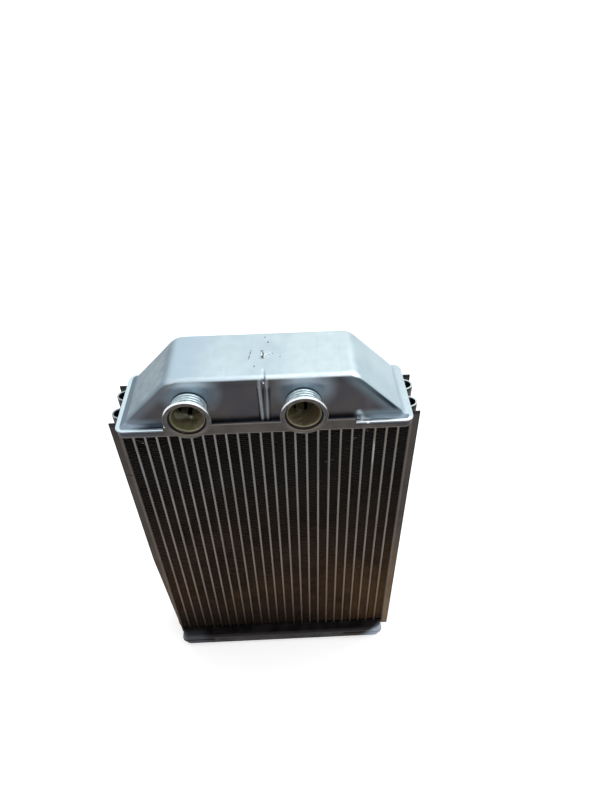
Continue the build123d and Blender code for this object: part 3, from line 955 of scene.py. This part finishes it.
def header_material():
    s = Shader("stained_shaded_header")
    out = s.math("ABSOLUTE", s.y)
    low = s.ramp(s.z, 130, 100)
    colour = s.mottle(0.08, srgb(64, 61, 60), srgb(78, 73, 70))
    colour = s.mix(s.ramp(s.x, -50, -62), colour, srgb(66, 67, 73))
    # Painted highlight on the rounded lower bend of the upper tray
    lower_bend_highlight = s.times(s.ramp(s.z, header_low.z + 1.7, header_low.z + 0.9),
                         s.ramp(s.z, header_low.z + 0.2, header_low.z + 0.6))
    colour = s.mix(lower_bend_highlight, colour, srgb(106, 101, 98))
    # Painted highlight on the tabs' upper edges
    tab_edge_highlight = s.times(s.ramp(s.z, header_high.z - 0.9, header_high.z - 0.2), s.ramp(s.facing((0, 0, 1)), -0.3, 0.3))
    colour = s.mix(tab_edge_highlight, colour, srgb(112, 108, 106))
    # Painted shadow under the tank's foot beside the tabs
    beside_tab = s.math("MAXIMUM", s.ramp(s.x, tab_from_x + 0.5, tab_from_x - 0.5),
                        s.ramp(s.x, tab_to_x - 0.5, tab_to_x + 0.5))
    under_rim_shadow = s.times(s.ramp(s.z, rim_z - 1.6, rim_z - 0.5), beside_tab)
    colour = s.mix(under_rim_shadow, colour, srgb(44, 44, 50))
    end = header_half_x - header_wall
    # Inside faces: pale olive, which paints light into the shaded inside
    inside = s.times(s.ramp(out, 20.95, 20.8), s.ramp(s.z, header_low.z + 1.2, header_low.z + 1.35),
                     s.ramp(s.math("ABSOLUTE", s.x), end + 0.15, end))
    colour = s.mix(inside, colour, srgb(226, 221, 192))
    # Lower tray: near black as painted shade under the core, with the painted highlights of end_sheen at its ends
    dark = s.mottle(0.1, srgb(24, 22, 23), srgb(36, 33, 33))
    dark = s.mix(s.ramp(s.z, pan_high.z + 1.6, pan_high.z), dark, srgb(22, 19, 17))
    colour = s.mix(low, colour, end_sheen(s, dark))
    colour = s.mix(s.ramp(s.noise(0.9, 5), 0.58, 0.75, 0, 0.4), colour, srgb(70, 64, 62))
    # Painted highlight: a pale dot on the braze at the left tab's end
    colour = s.mix(s.near(tab_from_x + 0.8, -22.2, header_high.z, 0.9, 0.4), colour, srgb(176, 180, 186))
    rough = s.ramp(s.noise(0.1, 4), 0.3, 0.7, 0.4, 0.6)
    return s.finish(colour, rough, s.ramp(inside, 0, 1, 0.8, 0.2), s.noise(1.5, 4), 0.3, 0.0001, specular=0.3)


def pan_material():
    s = Shader("dull_shaded_pan")
    # Near black as painted shade under the lower tray's rim
    colour = s.mottle(0.05, srgb(26, 22, 20), srgb(34, 30, 27))
    colour = s.mix(s.ramp(s.z, 2.4, 0.8), colour, srgb(40, 31, 26))
    # Painted highlight along the lower edge of the foot
    colour = s.mix(s.times(s.ramp(s.z, pan_high.z - 1.7, pan_high.z - 1.2), 0.5), colour, srgb(60, 54, 51))
    rough = s.ramp(s.noise(0.1, 4), 0.3, 0.7, 0.45, 0.65)
    return s.finish(end_sheen(s, colour), rough, 0.6, s.noise(1.5, 4), 0.3, 0.0001, specular=0.15)


def tube_material():
    s = Shader("flat_tube")
    colour = s.mix(s.ramp(s.z, 30, 210), srgb(110, 92, 77), srgb(116, 116, 114))
    colour = s.mix(s.times(s.ramp(s.z, 120, 190), s.ramp(s.x, 10, 40)), colour, srgb(108, 104, 98))
    blotch = s.noise(0.06, 4, stretch=(1, 1, 0.4))
    colour = s.mix(s.ramp(blotch, 0.4, 0.7, 0, 0.5), colour, srgb(94, 86, 78))
    # Painted shade at the tubes' lower ends, strongest on the left
    fade = s.times(s.ramp(s.z, 76, 10), s.ramp(s.x, 0, 45, 1.0, 0.25))
    colour = s.mix(fade, colour, srgb(36, 32, 30))
    # Painted highlights in streaks on the upper tubes
    tube_highlights = s.ramp(s.noise(0.22, 3, stretch=(1, 1, 0.12)), 0.66, 0.74, 0, 0.7)
    colour = s.mix(s.times(tube_highlights, s.ramp(s.z, 150, 210)), colour, srgb(164, 166, 166))
    # Painted shade on the tubes' flat sides between the fins
    side = s.ramp(s.math("ABSOLUTE", s.facing((1, 0, 0))), 0.75, 0.95)
    colour = s.mix(side, colour, srgb(60, 56, 54))
    return s.finish(colour, s.ramp(blotch, 0.3, 0.7, 0.4, 0.6), 0.7, s.noise(1.5, 4), 0.25, 0.0001)


def fin_material():
    s = Shader("fin_strip_dark")
    colour = s.mix(s.ramp(s.z, 20, 200), srgb(102, 74, 52), srgb(60, 56, 55))
    colour = s.mix(s.times(s.ramp(s.x, 20, 60), s.ramp(s.z, 130, 40)), colour, srgb(124, 94, 62))
    # Painted shade on the fins' lower ends, strongest on the left
    colour = s.mix(s.times(s.ramp(s.z, 60, 18), s.ramp(s.x, 45, 15, 0.2, 1.0)), colour, srgb(60, 46, 32))
    colour = s.mix(s.ramp(s.noise(0.04, 4), 0.4, 0.7, 0, 0.6), colour, srgb(44, 38, 35))
    glint = s.stroke((43.5, -15, header_low.z - 15), (50.5, -15, header_low.z - 11), 1.1, 0.4)
    for start, end in (((-69, -15, header_low.z - 6), (-62, -15, header_low.z - 13)),
                       ((-55, -15, header_low.z - 4), (-51, -15, header_low.z - 7)),
                       ((30, -15, header_low.z - 32), (36, -15, header_low.z - 29)),
                       ((51.5, -15, header_low.z - 7), (56, -15, header_low.z - 11))):
        glint = s.math("MAXIMUM", glint, s.stroke(start, end, 0.9, 0.4))
    glint = s.times(glint, s.ramp(s.noise(0.7, 2), 0.42, 0.6))
    colour = s.mix(glint, colour, srgb(190, 190, 186))
    rows = s.math("ABSOLUTE", s.math("SUBTRACT", s.math("FRACT", s.times(s.y, 1 / 1.1)), 0.5))
    panel = s.times(s.ramp(s.math("ABSOLUTE", s.facing((0, 0, 1))), 0.8, 0.95),
                    s.ramp(s.math("ABSOLUTE", s.y), 12.8, 12.6), s.ramp(s.math("ABSOLUTE", s.y), 0.8, 1.0))
    slits = s.times(s.ramp(rows, 0.12, 0.05), panel)
    colour = s.mix(s.times(slits, 0.8), colour, srgb(14, 13, 13))
    height = s.times(rows, panel)
    return s.finish(colour, 0.5, 0.7, height, 0.8, 0.0004)


def plate_material():
    s = Shader("rolled_plate")
    out = s.math("ABSOLUTE", s.x)
    deep = s.math("ABSOLUTE", s.y)
    up = s.facing((0, 0, 1))
    colour = s.mottle(0.05, srgb(54, 49, 46), srgb(67, 61, 57), stretch=(1, 1, 0.25))
    # Painted reflection of a warm surface: brown over the plates' lower part, strongest on the front flanges
    warm_reflection = s.mix(s.ramp(s.x, -10, 10), srgb(76, 57, 40), srgb(98, 76, 50))
    colour = s.mix(s.times(s.ramp(s.z, 160, 40), s.ramp(s.y, -13.0, -14.5, 0.35, 1.0)), colour, warm_reflection)
    # Painted highlight on the bend between web and flange
    bend = s.times(s.ramp(out, plate_low.x + 2.0, plate_low.x + 1.0), s.ramp(deep, 14.2, 14.6))
    colour = s.mix(s.times(bend, 0.7), colour, srgb(98, 91, 87))
    flange_edge = s.times(s.ramp(out, plate_high.x - 0.9, plate_high.x - 0.3), s.ramp(deep, 13.0, 13.8))
    colour = s.mix(flange_edge, colour, srgb(46, 44, 44))
    colour = s.mix(s.ramp(s.z, plate_high.z - 2.6, plate_high.z - 1.2), colour, srgb(36, 38, 42))
    # Painted shade in the beads' hollows
    inward = s.ramp(s.times(s.facing((1, 0, 0)), s.math("SIGN", s.x)), 0.3, -0.1)
    hollow_shade = s.ramp(s.math("ABSOLUTE", s.math("SUBTRACT", deep, bead_y)), 3.0, 2.6)
    colour = s.mix(s.times(hollow_shade, inward, 0.7), colour, srgb(40, 48, 52))
    cut_edge = s.times(s.ramp(s.z, plate_high.z - 0.3, plate_high.z - 0.1), s.ramp(up, 0.3, 0.6),
                       s.ramp(deep, 14.4, 13.6))
    colour = s.mix(s.times(cut_edge, s.ramp(s.x, -10, 10, 0.6, 1.0)), colour, srgb(200, 214, 218))
    # A crease in the left plate's front flange, painted dark as shade
    crease_shade = s.times(s.stroke((-plate_low.x, -15.2, 186.5), (-plate_high.x, -15.2, 187.5), 0.6, 0.3), 0.9)
    colour = s.mix(crease_shade, colour, srgb(22, 22, 22))
    rough = s.ramp(s.noise(0.1, 4), 0.3, 0.7, 0.42, 0.6)
    return s.finish(colour, rough, 0.7, s.noise(1.2, 4), 0.25, 0.0001, specular=0.25)


def baffle_material():
    s = Shader("baffle_plate")
    colour = s.mottle(0.3, srgb(196, 212, 220), srgb(214, 230, 235))
    # Staking dents painted dark as shade, with a painted highlight beside them
    stake_dents_and_shade, stake_highlight = stake_marks(s)
    colour = s.mix(stake_highlight, colour, srgb(240, 248, 250))
    colour = s.mix(stake_dents_and_shade, colour, srgb(58, 66, 70))
    colour = s.mix(s.ramp(s.z, top_z - 0.7, top_z - 1.2), colour, srgb(168, 162, 132))
    return s.finish(colour, 0.4, 0.8, s.noise(1.2, 4), 0.2, 0.0001)


def dress(piece, material):
    """Gives a piece its one material."""
    piece.data.materials.clear()
    piece.data.materials.append(material)


# Stage
def seen_directly(tree):
    """1 for rays from the camera or off metal and glass, 0 for the light on the object."""
    path = tree.nodes.new("ShaderNodeLightPath")
    seen = path.outputs["Is Camera Ray"]
    for name in ("Is Glossy Ray", "Is Transmission Ray"):
        either = tree.nodes.new("ShaderNodeMath")
        either.operation = "MAXIMUM"
        tree.links.new(seen, either.inputs[0])
        tree.links.new(path.outputs[name], either.inputs[1])
        seen = either.outputs[0]
    return seen


def build_stage():
    """A plain pale floor, a soft overhead lamp and a weaker fill."""
    mesh = bpy.data.meshes.new("floor")
    size = 6.0
    mesh.from_pydata([(-size, -size, 0), (size, -size, 0), (size, size, 0), (-size, size, 0)], [], [(0, 1, 2, 3)])
    floor = bpy.data.objects.new("floor", mesh)
    scene.collection.objects.link(floor)
    floor.location.z = -0.0002
    material = bpy.data.materials.new("floor_white")
    material.use_nodes = True
    tree = material.node_tree
    surface = tree.nodes["Principled BSDF"]
    surface.inputs["Base Color"].default_value = (0.8, 0.8, 0.8, 1)
    surface.inputs["Roughness"].default_value = 0.9
    surface.inputs["Emission Color"].default_value = (1, 1, 1, 1)
    strength = tree.nodes.new("ShaderNodeMath")
    strength.operation = "MULTIPLY"
    strength.inputs[1].default_value = 0.5
    tree.links.new(seen_directly(tree), strength.inputs[0])
    tree.links.new(strength.outputs[0], surface.inputs["Emission Strength"])
    mesh.materials.append(material)

    world = bpy.data.worlds.new("studio")
    scene.world = world
    world.use_nodes = True
    tree = world.node_tree
    background = tree.nodes["Background"]
    level = tree.nodes.new("ShaderNodeMapRange")
    level.inputs[3].default_value = 0.72
    level.inputs[4].default_value = 1.0
    tree.links.new(seen_directly(tree), level.inputs[0])
    background.inputs[0].default_value = (1, 1, 1, 1)
    tree.links.new(level.outputs[0], background.inputs[1])

    def area(name, place, target, size, power):
        lamp = bpy.data.lights.new(name, "AREA")
        lamp.shape = "RECTANGLE"
        lamp.size, lamp.size_y = size
        lamp.energy = power
        piece = bpy.data.objects.new(name, lamp)
        piece.location = place
        piece.rotation_mode = "QUATERNION"
        piece.rotation_quaternion = (Vector(target) - Vector(place)).to_track_quat("-Z", "Y")
        scene.collection.objects.link(piece)

    area("overhead", (0.5, 0.2, 1.3), (0, 0, 0.15), (1.2, 1.2), 7)
    area("fill", (-0.7, -1.2, 0.9), (0, 0, 0.12), (0.9, 0.9), 2)


# Camera, from the photograph's viewing angle
def build_camera():
    pitch, roll, yaw = 0.7230827, 0.0267466, 0.0213815
    focal_pixels = 572.129
    forward = Vector((sin(yaw) * cos(pitch), cos(yaw) * cos(pitch), -sin(pitch)))
    level_right = Vector((cos(yaw), -sin(yaw), 0))
    level_down = forward.cross(level_right)
    right = cos(roll) * level_right + sin(roll) * level_down
    down = -sin(roll) * level_right + cos(roll) * level_down
    lens = bpy.data.cameras.new("photo_view")
    lens.sensor_fit = "AUTO"
    lens.sensor_width = 36
    lens.lens = 36 * focal_pixels / 800
    lens.clip_start = 0.01
    camera = bpy.data.objects.new("photo_view", lens)
    axes = Matrix((right, -down, -forward)).transposed()
    place = Vector((13.4323, -227.3569, top_z + 170.3216)) * MM
    camera.matrix_world = Matrix.Translation(place) @ axes.to_4x4()
    scene.collection.objects.link(camera)
    scene.camera = camera


build_camera()
build_stage()
scene.view_settings.view_transform = "Standard"

dress(build_tank(), tank_material())
dress(build_baffle(), baffle_material())
turned = neck_material()
for name, x in (("inlet_neck", neck_x[0]), ("outlet_neck", neck_x[1])):
    dress(swap(lathe_along_y(name + "_turned", x, neck_z, neck_profile()), name), turned)
stained_and_shaded = header_material()
dress(build_header("upper_tray", "upper_header", header_low.z, 1), stained_and_shaded)
dress(build_header("lower_tray", "lower_header", lower_header_high.z, -1), stained_and_shaded)
dress(build_pan(), pan_material())
rolled = plate_material()
dress(build_plate("plate_right_rolled", "side_plate_right", 1), rolled)
dress(build_plate("plate_left_rolled", "side_plate_left", -1), rolled)
dull = tube_material()
for tube in build_tubes():
    dress(tube, dull)
dark_strip = fin_material()
for fin in build_fins():
    dress(fin, dark_strip)
